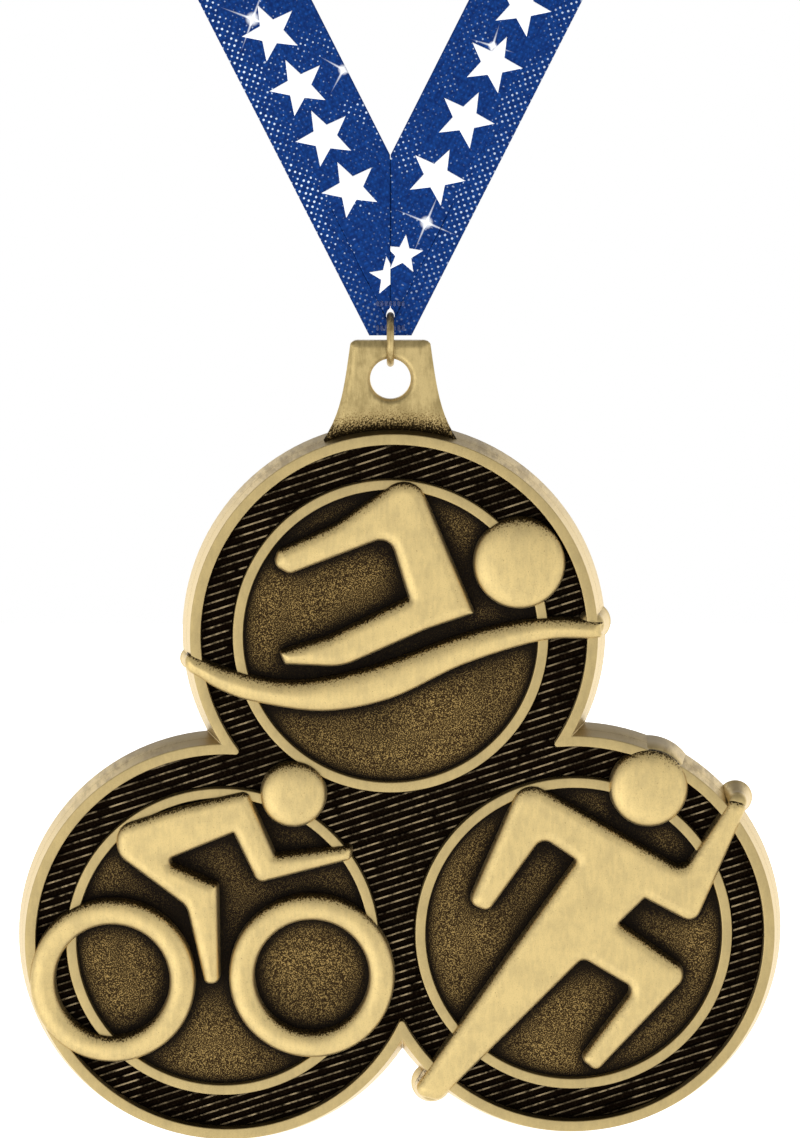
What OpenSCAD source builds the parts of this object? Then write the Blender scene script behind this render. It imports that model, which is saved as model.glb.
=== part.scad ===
// Sports finisher medal: a die-cast medal of three joined round lobes with raised
// swimmer, cyclist and runner figures. It hangs by a jump ring from the mitred
// point of a neck ribbon, whose spare length is folded into a banded hank on top.
// +Z is up, the medal faces -Y, and the origin is the top of the hank's band.

/* [Casting] */
// Radius inside the rim of the top lobe
top_rim_r = 18.4; // [18:0.05:19]
// Radius inside the rim of each lower lobe
low_rim_r = 18.35; // [17.5:0.05:18.5]
// Width of the flat face of the rim
rim_w = 1; // [0.6:0.05:1.2]
// Distance between the centres of two lobes
lobe_span = 33.8; // [33:0.1:34.2]
// Turn of the two lower lobes about the top one, in degrees
lobe_turn = 1.4; // [0:0.1:2]
// Height of the rim above the hatched field
rim_rise = 1.5; // [1:0.1:2]
// Thickness of the plate behind the field
plate_t = 2; // [1.5:0.1:3]
// Lean of the casting's outer wall, sideways per height
draft = 0.28; // [0.1:0.02:0.34]

/* [Inner rings] */
// Outer radius of the rings round the swimmer and the cyclist
ring_r = 15.1; // [14.5:0.1:15.3]
// Outer radius of the ring round the runner
run_ring_r = 15.3; // [14.5:0.1:15.4]
// Width of each ring
ring_w = 1.1; // [0.8:0.05:1.5]
// Height of each ring above the field
ring_rise = 1.1; // [0.8:0.1:1.3]
// Depth of the hollow in each ring's floor
dish_depth = 0.25; // [0.1:0.05:0.3]

/* [Hatching] */
// Distance between two ridges
ridge_pitch = 0.75; // [0.7:0.05:1.5]
// Width of a ridge
ridge_w = 0.15; // [0.15:0.05:0.3]
// Height of a ridge
ridge_rise = 0.3; // [0.2:0.05:0.4]
// Slope of the ridges, in degrees
ridge_angle = 18; // [0:1:30]

/* [Figures] */
// Height of the bodies above the field
body_rise = 2; // [1.6:0.1:2.4]
// Height of the heads above the field
head_rise = 2.3; // [1.8:0.1:2.6]
// Outer radius of a bicycle wheel
wheel_r = 8; // [7.5:0.1:8.1]
// Width of a bicycle wheel's tyre
tyre_w = 2.5; // [2:0.1:2.6]

/* [Tab and ring] */
// Distance from the top of the tab to the top lobe's centre
lobe_drop = 28.2; // [27.5:0.1:29]
// Width of the tab along its top edge
tab_top_w = 7.5; // [7:0.1:8]
// Thickness of the tab
tab_t = 1.9; // [1.6:0.1:2]
// Distance from the top of the tab to the centre of its hole
hole_drop = 3.65; // [3.5:0.05:3.8]
// Radius of the tab's hole
hole_r = 1.93; // [1.9:0.01:2.1]
// Chamfer round both ends of the hole
hole_chamfer = 0.38; // [0.35:0.01:0.5]
// Diameter of the jump ring's wire
wire_d = 0.7; // [0.6:0.05:0.8]
// Radius of the jump ring at the middle of its wire
jump_r = 2.25; // [2.2:0.05:2.3]

/* [Ribbon] */
// Width of the ribbon
ribbon_w = 9.5; // [9:0.1:10.5]
// Thickness of the ribbon
ribbon_t = 0.4; // [0.3:0.05:0.5]
// Angle between each strand and the vertical, in degrees
strand_angle = 27; // [25:0.1:28]
// Width of the ribbon's point along its bottom edge
point_w = 4; // [3.8:0.1:4.4]
// Gap between the ribbon's point and the tab
point_gap = 0.45; // [0.4:0.05:0.6]
// Height of the two strands, from the tab to the folded hank
strand_rise = 37; // [36:0.5:40]
// Length of the folded hank
hank_l = 50; // [46:1:56]
// Depth of the folded hank
hank_depth = 8.4; // [7:0.2:9]
// Width of the band round the hank
band_w = 8; // [6:0.5:10]
// Thickness of the band
band_t = 0.5; // [0.4:0.1:0.8]

/* [Hidden] */

// Finishes
gold = [0.76, 0.66, 0.42];
bronze = [0.30, 0.24, 0.13];
patina = [0.11, 0.09, 0.05];
ribbon_blue = [0.06, 0.20, 0.52];

// Smoothness of the large and small round shapes
big_fn = 128;
small_fn = 48;
corner_steps = 6;

// Heights measured toward the viewer from the casting's middle plane
back_h = -1.6;
field_h = back_h + plate_t;
rim_h = field_h + rim_rise;
boss_h = rim_h - 0.5;
dish_t = 0.35;
ring_lean = 0.08;

// Heights along Z
hank_top = -band_t;
hank_bottom = hank_top - ribbon_w;
tab_top = hank_bottom - strand_rise;

// Centres of the three lobes, across and up from the top of the tab
swim_at = [0, -lobe_drop];
cycle_at = swim_at + lobe_span * [cos(240 + lobe_turn), sin(240 + lobe_turn)];
run_at = swim_at + lobe_span * [cos(300 + lobe_turn), sin(300 + lobe_turn)];
web_at = (swim_at + cycle_at + run_at) / 3;
web_r = 3;

// Circles inside the rim, which are not quite about the lobes' centres: [centre, radius]
rims = [[swim_at + [0.33, 0], top_rim_r], [cycle_at + [0.4, 0.05], low_rim_r],
    [run_at + [-0.07, 0], low_rim_r]];
// Rounding of the rim's inner points, where two lobes meet
point_r = 0.3;

// Rounded bosses where a figure reaches past the rim: [centre, radius]
bosses = [[swim_at + [-19.1, -2.4], 0.2], [swim_at + [19.2, 1.15], 1],
    [run_at + [7.1, 14.3], 3.75], [run_at + [15.6, 12.9], 0.75], [run_at + [-13.65, -15.25], 1.05]];

// Heads: centre from the lobe's own centre, and radius
swimmer_head_at = swim_at + [12.25, 7.1];
swimmer_head_r = 4.35;
cyclist_head_at = cycle_at + [6.9, 14.5];
cyclist_head_r = 3.15;
runner_head_at = run_at + [7.1, 14.3];
runner_head_r = 3.75;
rear_wheel_at = cycle_at + [-10.6, -3.7];
front_wheel_at = cycle_at + [8.6, -3.25];

// Corners of the figures, from the lobe's centre: [across, up, radius]
swimmer_corners = [[-10.7, 8.3, 0.9], [-5.2, 10.8, 6], [2.2, 16, 2.1], [7.95, 2.3, 0.1],
    [3.4, 0.75, 4], [-4.6, -2.85, 6], [-10.1, -2.6, 0.4], [-10.6, -1.4, 0.3],
    [-5.8, 0.05, 4], [1.75, 3.75, 0.1], [-0.07, 9.75, 1.4], [-9.6, 6.05, 0.9],
    [-11.1, 6.9, 0.8]];
cyclist_corners = [[-10.13, 11.37, 1.9], [-4.03, 13.32, 6], [2.47, 14.82, 0.7], [5.12, 8.62, 0.4], [12.57, 9.57, 0.5],
    [12.37, 8.17, 0.5], [3.45, 5.86, 0.9], [1.12, 10.77, 0.1], [-5.53, 8.02, 0.4],
    [-0.38, 5.67, 0.5], [-0.28, -3.98, 0.7], [-1.68, -3.98, 0.6], [-3.43, 3.62, 1.8],
    [-10.03, 8.62, 2.1]];
runner_corners = [[-4.95, 15.25, 1.9], [10.53, 6.25, 1.4], [14.98, 13.25, 0.6], [16.63, 12.8, 0.7],
    [11.63, 1, 1.2], [6.78, 3.55, 0.1], [4.33, 1.1, 0.1], [11.23, -3.75, 1.3],
    [2.28, -13.45, 0.7], [0.73, -12.25, 0.6], [5.83, -5.3, 0.8], [0.88, -2.3, 0.8],
    [-12.92, -16.35, 0.9], [-15.72, -15.65, 0.9], [0.23, 7.25, 0.3], [-3.07, 9.5, 1],
    [-8.22, 2.25, 0.8], [-10.15, 3.05, 0.85]];

// Edges of the wave, left to right, from the top lobe's centre
wave_crest = [[-19.6, -2.1], [-19.2, -1.6], [-18.2, -2], [-15.5, -3.1], [-9.5, -4.3], [-2, -3], [7, 0.2],
    [14, 1.75], [19.7, 1.55], [20.1, 1.1]];
wave_foot = [[-19.6, -2.7], [-19.2, -3.3], [-18.2, -3.9], [-16.2, -5.1], [-13, -6.2], [-6.5, -7.1], [0, -5.9],
    [7, -2.6], [14.5, -0.3], [19.6, -0.1], [20.1, 0.5]];

// Tab outline: its half width widens evenly and then flares into the lobe
tab_taper = 0.14;
tab_flare = 0.00016;
tab_corner = 0.8;
tab_h = 9.5;
function tab_half_w(d) = tab_top_w / 2 + tab_taper * d + tab_flare * pow(d, 4);

// Jump ring: centre of the ring, and the two places where its wire passes through
ring_centre = [0, 0, tab_top + 0.06];
slot_at = ring_centre + [0, 0, jump_r];
butt_gap = 0.12;

// Ribbon: heights above the tab where the strands' outer and inner edges meet
outer_meet = point_gap - point_w / 2 / tan(strand_angle);
inner_meet = outer_meet + ribbon_w / sin(strand_angle);
slot_w = 0.95;
slot_h = 1.5;
slot_up = slot_at.z - tab_top;
thread_d = 0.25;
thread_t = 0.15;
stitch_l = 0.9;
stitch_pitch = 1.6;
print_t = 0.06;

// Stars: distance up each strand from the seam, and their size
left_stars = [8.2, 13.6, 18.9, 24.6];
right_stars = [9.5, 15.5, 21.3, 27.2];
star_r = 2.8;
small_star_r = 1.9;
small_star_turn = 7;
left_small_star = [-0.15, 6.05];
right_small_star = [1.25, 8.1];

// ---- Outlines ----

function unit(v) = v / norm(v);
function turned(v, a) = [v.x * cos(a) - v.y * sin(a), v.x * sin(a) + v.y * cos(a)];

// Points of an arc about a centre, the short way round
function arc(from, to, centre) =
    let (a = from - centre, b = to - centre, sweep = atan2(cross(a, b), a * b))
    [for (k = [0:corner_steps]) centre + turned(a, sweep * k / corner_steps)];

// Points that round the corner p between its two neighbours
function corner(before, p, after, r) =
    let (a = unit(before - p), b = unit(after - p), half = acos(a * b) / 2)
    arc(p + a * r / tan(half), p + b * r / tan(half), p + unit(a + b) * r / sin(half));

// An outline from its corners, [across, up, radius]
function rounded(c) =
    let (n = len(c), p = [for (q = c) [q.x, q.y]])
    [for (i = [0:n - 1]) each corner(p[(i + n - 1) % n], p[i], p[(i + 1) % n], c[i][2])];

// A smooth curve through points
function curve_point(a, b, c, d, t) =
    b + t / 2 * (c - a + t * (2 * a - 5 * b + 4 * c - d + t * (3 * b - a - 3 * c + d)));
function curve(p) =
    let (last = len(p) - 1)
    [for (i = [0:last - 1], k = [0:corner_steps - 1])
        curve_point(p[max(i - 1, 0)], p[i], p[i + 1], p[min(i + 2, last)], k / corner_steps),
        p[last]];
function reversed(p) = [for (i = [len(p) - 1:-1:0]) p[i]];

function star(r) = [for (k = [0:9]) (k % 2 == 0 ? r : r * 0.42) * [sin(36 * k), cos(36 * k)]];

module swimmer_outline() translate(swim_at) polygon(rounded(swimmer_corners));
module wave_outline() translate(swim_at) polygon(concat(curve(wave_crest), reversed(curve(wave_foot))));
module cyclist_outline() translate(cycle_at) polygon(rounded(cyclist_corners));
module runner_outline() translate(run_at) polygon(rounded(runner_corners));
module disc(centre, r) translate(centre) circle(r, $fn = big_fn);

// ---- Placing ----

// Stands its children on the medal's face, at a centre and a height toward the viewer
module facing(centre, height)
    translate([centre.x, -height, tab_top + centre.y]) rotate([90, 0, 0]) children();

// Thickens an outline on the medal's face from one height to another
module relief(from, to) facing([0, 0], from) linear_extrude(to - from) children();

// A round block whose wall leans in toward the face
module drafted(centre, r, from, to)
    facing(centre, from)
        cylinder(h = to - from, r1 = r + draft * (rim_h - from), r2 = r + draft * (rim_h - to), $fn = big_fn);

module lobes(from, to) for (c = rims) drafted(c[0], c[1] + rim_w, from, to);
module boss_blocks(from, to) for (b = bosses) drafted(b[0], b[1], from, to);

// ---- Casting ----

module base_plate() color(bronze) {
    lobes(back_h, field_h);
    boss_blocks(back_h, field_h);
    facing(web_at, back_h) cylinder(h = plate_t, r = web_r, $fn = small_fn);
}

// The area that the rim encloses
module inside_rim() offset(delta = -point_r) offset(r = point_r, $fn = small_fn) {
    for (c = rims) disc(c[0], c[1]);
    disc(web_at, web_r);
}

module rim() color(gold) difference() {
    union() {
        lobes(field_h, rim_h);
        boss_blocks(field_h, boss_h);
    }
    relief(field_h - 1, rim_h + 1) inside_rim();
}

module tab_outline() {
    depths = [for (k = [0:12]) tab_h * k / 12];
    right = [for (d = depths) [tab_half_w(d), -d]];
    left = [for (p = reversed(right)) [-p.x, p.y]];
    top = [[right[0].x, 0, tab_corner], [right[12].x, -tab_h, 0.1],
        [left[0].x, -tab_h, 0.1], [left[12].x, 0, tab_corner]];
    intersection() {
        polygon(rounded(top));
        polygon(concat(right, left));
    }
}

module hanging_tab() color(gold) difference() {
    relief(-tab_t / 2, tab_t / 2) tab_outline();
    facing([0, -hole_drop], -tab_t) cylinder(h = 2 * tab_t, r = hole_r, $fn = small_fn);
    for (side = [-1, 1])
        translate([0, side * tab_t / 2, tab_top - hole_drop]) rotate([side * 90, 0, 0])
            cylinder(h = hole_chamfer, r1 = hole_r + hole_chamfer, r2 = hole_r, $fn = small_fn);
    drafted(rims[0][0], top_rim_r + rim_w, back_h - 1, rim_h + 1);
}

// The part of the field that carries ridges
module field_outline() difference() {
    offset(delta = -0.1) inside_rim();
    disc(swim_at, ring_r + 0.1);
    disc(cycle_at, ring_r + 0.1);
    disc(run_at, run_ring_r + 0.1);
    wave_outline();
    runner_outline();
    disc(swimmer_head_at, swimmer_head_r);
    disc(cyclist_head_at, cyclist_head_r);
    disc(runner_head_at, runner_head_r);
    difference() {
        disc(rear_wheel_at, wheel_r);
        disc(rear_wheel_at, wheel_r - tyre_w);
    }
    disc(front_wheel_at, wheel_r);
}

module hatched_field() color(bronze) {
    reach = lobe_span * 0.7 + top_rim_r;
    count = floor(reach / ridge_pitch);
    relief(field_h, field_h + ridge_rise) intersection() {
        field_outline();
        translate(web_at) rotate(ridge_angle)
            for (k = [-count:count])
                translate([0, k * ridge_pitch]) square([2 * reach, ridge_w], center = true);
    }
}

// A ring whose sides lean in by the same amount
module inner_ring(centre, r) color(gold) facing(centre, field_h) rotate_extrude($fn = big_fn)
    polygon([[r - ring_w, 0], [r, 0], [r - ring_lean, ring_rise], [r - ring_w + ring_lean, ring_rise]]);
module swim_ring() inner_ring(swim_at, ring_r);
module cycle_ring() difference() {
    inner_ring(cycle_at, ring_r);
    facing(front_wheel_at, field_h - 1) cylinder(h = ring_rise + 2, r = wheel_r - tyre_w / 2, $fn = big_fn);
}
module run_ring() inner_ring(run_at, run_ring_r);

// A floor disc whose top sinks toward its middle
module dish(centre, r, sink) color(patina) facing(centre, field_h) rotate_extrude($fn = big_fn)
    polygon(concat([[0, 0], [r, 0]],
        [for (k = [8:-1:0]) [r * k / 8, dish_t - sink * (1 - pow(k / 8, 2))]]));
module swim_dish() dish(swim_at, ring_r - ring_w, dish_depth);
module run_dish() dish(run_at, run_ring_r - ring_w, dish_depth);
// The front wheel has a shallower floor of its own, where the ring stops
module cycle_dish() {
    dish(cycle_at, ring_r - ring_w, dish_depth);
    dish(front_wheel_at, wheel_r - tyre_w * 0.6, dish_depth / 3);
}

// ---- Figures ----

module body(rise) relief(field_h, field_h + rise) children();

// A disc with a softly domed face
module head(centre, r) {
    shoulder = head_rise * 0.7;
    color(gold) facing(centre, field_h) rotate_extrude($fn = big_fn)
        polygon(concat([[0, 0], [r, 0], [r, shoulder]],
            [for (k = [1:8]) [r * cos(90 * k / 8), shoulder + (head_rise - shoulder) * sin(90 * k / 8)]]));
}

// A wheel with a round-shouldered face
module wheel(centre) {
    shoulder = body_rise * 0.45;
    middle = wheel_r - tyre_w / 2;
    color(gold) facing(centre, field_h) rotate_extrude($fn = big_fn)
        polygon(concat([[wheel_r - tyre_w, 0], [wheel_r, 0]],
            [for (k = [0:10]) [middle + tyre_w / 2 * cos(18 * k), shoulder + (body_rise - shoulder) * sqrt(sin(18 * k))]]));
}

module swimmer_body() color(gold) body(body_rise) swimmer_outline();
module swimmer_head() head(swimmer_head_at, swimmer_head_r);
module wave() color(gold) body(body_rise) wave_outline();
module cyclist_body() color(gold) body(body_rise) cyclist_outline();
module cyclist_head() head(cyclist_head_at, cyclist_head_r);
module rear_wheel() wheel(rear_wheel_at);
module front_wheel() wheel(front_wheel_at);
module runner_body() color(gold) body(body_rise) runner_outline();
module runner_head() head(runner_head_at, runner_head_r);

// ---- Jump ring ----

module jump_ring() color(gold) difference() {
    translate(ring_centre) rotate([90, 0, 90]) rotate_extrude($fn = small_fn)
        translate([jump_r, 0]) circle(d = wire_d, $fn = small_fn);
    translate(ring_centre + [0, jump_r, 0]) cube([2 * wire_d, 2 * wire_d, butt_gap], center = true);
}

// ---- Ribbon ----

// Stands an outline, measured from the top of the tab, in the ribbon's plane
module cloth(from, to) relief(from, to) children();

module strand(side) color(ribbon_blue) cloth(-ribbon_t / 2, ribbon_t / 2) difference() {
    polygon([[0, point_gap], [side * point_w / 2, point_gap],
        [side * (strand_rise - outer_meet) * tan(strand_angle), strand_rise],
        [side * (strand_rise - inner_meet) * tan(strand_angle), strand_rise], [0, inner_meet]]);
    translate([0, slot_up]) square([slot_w, slot_h], center = true);
}
module left_strand() strand(-1);
module right_strand() strand(1);

// The two cut ends, turned back behind the seam and sewn down
module seam_backing() color(ribbon_blue) {
    bottom = slot_up + slot_h / 2 + 0.2;
    turn_w = 2.4;
    cloth(-1.5 * ribbon_t, -ribbon_t / 2)
        polygon([[-turn_w / 2, bottom], [turn_w / 2, bottom], [turn_w, inner_meet - 3],
            [0, inner_meet - 0.4], [-turn_w, inner_meet - 3]]);
}

// A stitch lying on the cloth at a height, with its middle at a place
module stitch(place, l, height)
    cloth(height, height + thread_t) translate(place) square([thread_d, l], center = true);

// Two rows down the back, through the turned ends
module seam_stitches() color("navy") {
    first = slot_up + slot_h / 2 + 0.8;
    count = floor((inner_meet - 3 - first) / stitch_pitch);
    for (side = [-1, 1], k = [0:count])
        stitch([side * 0.8, first + stitch_pitch * k], stitch_l, -1.5 * ribbon_t - thread_t);
}

// Close rows on the front that stop the seam opening above and below the ring's slot
module bar_tacks() color("navy")
    for (up = [slot_up - slot_h / 2 - 0.4, slot_up + slot_h / 2 + 0.4], k = [-3:3])
        stitch([k * 0.4, up], 0.5, ribbon_t / 2);

// Stars up one strand
module star_row(side, distances) {
    seam_middle = (outer_meet + inner_meet) / 2;
    for (s = distances)
        translate([side * s * sin(strand_angle), seam_middle + s * cos(strand_angle)])
            rotate(-side * strand_angle) polygon(star(star_r));
}

// A small star that the seam cuts off
module cut_star(side, place) intersection() {
    translate(place) rotate(-side * small_star_turn) polygon(star(small_star_r));
    translate([side * ribbon_w / 2, 0]) square([ribbon_w, 4 * ribbon_w], center = true);
}

module star_prints() color("white") cloth(ribbon_t / 2, ribbon_t / 2 + print_t) {
    star_row(-1, left_stars);
    star_row(1, right_stars);
    cut_star(-1, left_small_star);
    cut_star(1, right_small_star);
}

// The folded length: its runs lie against each other inside this outline
module hank_outline() {
    straight = hank_l - hank_depth;
    square([straight, hank_depth], center = true);
    for (side = [-1, 1]) translate([side * straight / 2, 0]) circle(d = hank_depth, $fn = small_fn);
}

module folded_hank() color(ribbon_blue)
    translate([0, 0, hank_bottom]) linear_extrude(ribbon_w) hank_outline();

module hank_band() color([0.08, 0.08, 0.1]) difference() {
    translate([0, 0, (hank_top + hank_bottom) / 2])
        cube([band_w, hank_depth + 2 * band_t, ribbon_w + 2 * band_t], center = true);
    translate([0, 0, (hank_top + hank_bottom) / 2])
        cube([2 * band_w, hank_depth, ribbon_w], center = true);
}

base_plate();
rim();
hanging_tab();
hatched_field();
swim_ring();
cycle_ring();
run_ring();
swim_dish();
cycle_dish();
run_dish();
swimmer_body();
swimmer_head();
wave();
cyclist_body();
cyclist_head();
rear_wheel();
front_wheel();
runner_body();
runner_head();
jump_ring();
left_strand();
right_strand();
seam_backing();
seam_stitches();
bar_tacks();
star_prints();
folded_hank();
hank_band();
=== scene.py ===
"""Looks of the sports finisher medal: casting, jump ring and folded neck ribbon, round the CAD frame.

The medal hangs with its decorated face toward -Y. A height is measured from the casting's middle plane
toward the viewer, so a point at height h lies at y = -h. Places come from the CAD nodes' boxes and faces.
"""

import math

import bmesh
import bpy
import numpy as np
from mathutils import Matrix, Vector
from mathutils.geometry import delaunay_2d_cdt


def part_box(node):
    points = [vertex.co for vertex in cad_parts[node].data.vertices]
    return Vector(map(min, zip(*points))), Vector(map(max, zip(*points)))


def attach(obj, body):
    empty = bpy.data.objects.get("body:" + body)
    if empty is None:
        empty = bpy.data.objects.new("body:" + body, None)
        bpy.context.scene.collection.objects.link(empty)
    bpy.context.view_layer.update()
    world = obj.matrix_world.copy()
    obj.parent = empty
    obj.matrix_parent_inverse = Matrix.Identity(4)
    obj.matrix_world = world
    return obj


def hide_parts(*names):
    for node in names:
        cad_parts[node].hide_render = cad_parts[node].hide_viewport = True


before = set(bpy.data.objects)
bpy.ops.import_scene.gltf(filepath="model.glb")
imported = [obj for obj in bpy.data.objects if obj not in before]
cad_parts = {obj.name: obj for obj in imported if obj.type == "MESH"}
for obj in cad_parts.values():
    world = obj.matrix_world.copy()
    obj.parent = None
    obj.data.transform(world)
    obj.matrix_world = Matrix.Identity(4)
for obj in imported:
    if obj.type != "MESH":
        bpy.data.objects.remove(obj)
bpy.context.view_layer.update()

MM = 0.001
# Pitch of the points inside a raised surface
PATCH = 0.14 * MM


# ---- places read from the frame


def height_span(node):
    """Lowest and highest height of a CAD node toward the viewer."""
    low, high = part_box(node)
    return -high.y, -low.y


def disc_of(node):
    """Centre (x, z) and radius of a round CAD node."""
    low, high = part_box(node)
    return np.array([(low.x + high.x) / 2, (low.z + high.z) / 2]), (high.x - low.x) / 2


BACK_H, FIELD_H = height_span("base_plate")
RIM_H = height_span("rim")[1]
RING_H = height_span("swim_ring")[1]
TAB_H = height_span("hanging_tab")[1]
TAB_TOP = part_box("hanging_tab")[1].z
LOBES = [disc_of(n)[0] for n in ("swim_ring", "cycle_ring", "run_ring")]
RIMS = [
    (LOBES[0] + np.array([0.33, 0.0]) * MM, 18.4 * MM),
    (LOBES[1] + np.array([0.4, 0.05]) * MM, 18.35 * MM),
    (LOBES[2] + np.array([-0.07, 0.0]) * MM, 18.35 * MM),
]
RIM_W = 1.0 * MM
# Radius of the notches between the lobes, at the rim's inner edge
POINT_R = 0.3 * MM
# How far the casting's walls lean out for each unit of depth
DRAFT = 0.28


# ---- meshes


def linked(name, data):
    """A new object in the scene with this data."""
    obj = bpy.data.objects.new(name, data)
    bpy.context.scene.collection.objects.link(obj)
    return obj


def new_object(name, verts, faces):
    """A smooth mesh object whose faces look outward."""
    mesh = bpy.data.meshes.new(name)
    mesh.from_pydata([tuple(v) for v in verts], [], [tuple(f) for f in faces])
    mesh.validate()
    mesh.update()
    bm = bmesh.new()
    bm.from_mesh(mesh)
    bmesh.ops.recalc_face_normals(bm, faces=bm.faces)
    bm.to_mesh(mesh)
    bm.free()
    mesh.polygons.foreach_set("use_smooth", [True] * len(mesh.polygons))
    return linked(name, mesh)


def sharpen(obj, degrees):
    """Keeps edges sharper than this angle crisp under smooth shading."""
    obj.data.set_sharp_from_angle(angle=math.radians(degrees))
    return obj


def join(name, objects):
    """One smooth object from several, none of which touch."""
    bm = bmesh.new()
    for o in objects:
        bm.from_mesh(o.data)
    mesh = bpy.data.meshes.new(name)
    bm.to_mesh(mesh)
    bm.free()
    mesh.polygons.foreach_set("use_smooth", [True] * len(mesh.polygons))
    for o in objects:
        bpy.data.objects.remove(o)
    return linked(name, mesh)


def place(xz, h):
    return (xz[0], -h, xz[1])


def grid_faces(rows, cols, close_rows=False, close_cols=False):
    faces = []
    for i in range(rows if close_rows else rows - 1):
        for j in range(cols if close_cols else cols - 1):
            a, b = i, (i + 1) % rows
            c, d = j, (j + 1) % cols
            faces.append((a * cols + c, b * cols + c, b * cols + d, a * cols + d))
    return faces


def lathe(name, centre, profile, steps=160):
    """Turns (radius, height) points round an axis through centre; a radius of 0 closes an end."""
    profile = np.array(profile, float)
    angles = np.linspace(0, 2 * math.pi, steps, endpoint=False)
    verts, rings = [], []
    for r, h in profile:
        if r < 1e-7:
            rings.append([len(verts)])
            verts.append(place(centre, h))
            continue
        rings.append(range(len(verts), len(verts) + steps))
        verts += [place(centre + r * unit(a), h) for a in angles]
    faces = []
    for a, b in zip(rings, rings[1:]):
        for k in range(steps):
            n = (k + 1) % steps
            if len(a) == 1 and len(b) > 1:
                faces.append((a[0], b[k], b[n]))
            elif len(b) == 1 and len(a) > 1:
                faces.append((a[k], b[0], a[n]))
            elif len(a) > 1:
                faces.append((a[k], b[k], b[n], a[n]))
    return new_object(name, verts, faces)


def closed_lathe(name, centre, profile, steps=160):
    return lathe(name, centre, list(profile) + [profile[0]], steps)


def skin(name, rows):
    """A closed skin over rings of points, with a flat face over the first and the last ring."""
    count, cols = len(rows), len(rows[0])
    faces = grid_faces(count, cols, close_cols=True)
    faces += [tuple(range(cols))[::-1], tuple(range((count - 1) * cols, count * cols))]
    return new_object(name, [v for row in rows for v in row], faces)


def wall_faces(a, b, n):
    """Faces between two rings of n points, which start at a and b."""
    return [(a + k, a + (k + 1) % n, b + (k + 1) % n, b + k) for k in range(n)]


def arc_band(name, centre, profile, start, end, steps=140):
    """Sweeps a closed (radius, height) profile along an arc about centre."""
    angles = np.linspace(start, end, steps)
    return skin(name, [[place(centre + r * unit(a), h) for r, h in profile] for a in angles])


def quarter(start, end, steps=6, up_first=True):
    """Points of a quarter round from start to end, both (radius, height)."""
    (r0, h0), (r1, h1) = start, end
    made = []
    for k in range(steps + 1):
        a = math.pi / 2 * k / steps
        s, c = math.sin(a), 1 - math.cos(a)
        made.append((r0 + (r1 - r0) * (c if up_first else s), h0 + (h1 - h0) * (s if up_first else c)))
    return made


# ---- outlines


def welded(node):
    """A CAD node's mesh with its doubled points merged."""
    bm = bmesh.new()
    bm.from_mesh(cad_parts[node].data)
    bmesh.ops.remove_doubles(bm, verts=bm.verts, dist=1e-7)
    return bm


def front_loops(node):
    """Outlines of a CAD node's front face as arrays of (x, z), the longest first."""
    bm = welded(node)
    front = min(v.co.y for v in bm.verts) + 1e-6
    flat = {f for f in bm.faces if all(v.co.y < front for v in f.verts)}
    links = {}
    for e in bm.edges:
        if sum(f in flat for f in e.link_faces) == 1:
            for a, b in (e.verts, reversed(e.verts)):
                links.setdefault(a, []).append(b)
    loops = []
    while links:
        start = next(iter(links))
        loop, previous, at = [start], None, start
        while True:
            following = [v for v in links[at] if v is not previous]
            previous, at = at, following[0]
            if at is start:
                break
            loop.append(at)
        for v in loop:
            del links[v]
        loops.append(np.array([(v.co.x, v.co.z) for v in loop]))
    bm.free()
    return sorted(loops, key=perimeter, reverse=True)


def perimeter(loop):
    return float(np.linalg.norm(np.roll(loop, -1, 0) - loop, axis=1).sum())


def turned_left(loop):
    """The same loop, anticlockwise."""
    x, z = loop[:, 0], loop[:, 1]
    area = np.sum(x * np.roll(z, -1) - np.roll(x, -1) * z)
    return loop if area > 0 else loop[::-1]


def evenly(loop, pitch):
    """The loop with points added so that no step is longer than pitch."""
    made = []
    for a, b in zip(loop, np.roll(loop, -1, 0)):
        n = max(1, math.ceil(np.linalg.norm(b - a) / pitch))
        made += [a + (b - a) * k / n for k in range(n)]
    return np.array(made)


def loop_normals(loop):
    """Outward directions at the points of an anticlockwise loop."""
    step = np.roll(loop, -1, 0) - np.roll(loop, 1, 0)
    out = np.stack([step[:, 1], -step[:, 0]], 1)
    return out / np.linalg.norm(out, axis=1, keepdims=True)


def outlines(node, pitch):
    """Outlines of a CAD node's front face, anticlockwise and with points a pitch apart, the longest first."""
    return [evenly(turned_left(loop), pitch) for loop in front_loops(node)]


def edge_distance(points, loops):
    """Distance from each point to the nearest edge of the loops."""
    best = np.full(len(points), 1e9)
    for loop in loops:
        for a, b in zip(loop, np.roll(loop, -1, 0)):
            d = b - a
            t = np.clip(((points - a) @ d) / max(d @ d, 1e-18), 0, 1)
            best = np.minimum(best, np.hypot(*(points - a - t[:, None] * d).T))
    return best


def inside(points, loops):
    """True for each point that the loops enclose an odd number of times."""
    odd = np.zeros(len(points), bool)
    x, z = points[:, 0], points[:, 1]
    for loop in loops:
        for (x0, z0), (x1, z1) in zip(loop, np.roll(loop, -1, 0)):
            crosses = (z0 > z) != (z1 > z)
            if crosses.any():
                odd ^= crosses & (x < (x1 - x0) * (z - z0) / (z1 - z0 + 1e-18) + x0)
    return odd


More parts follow.
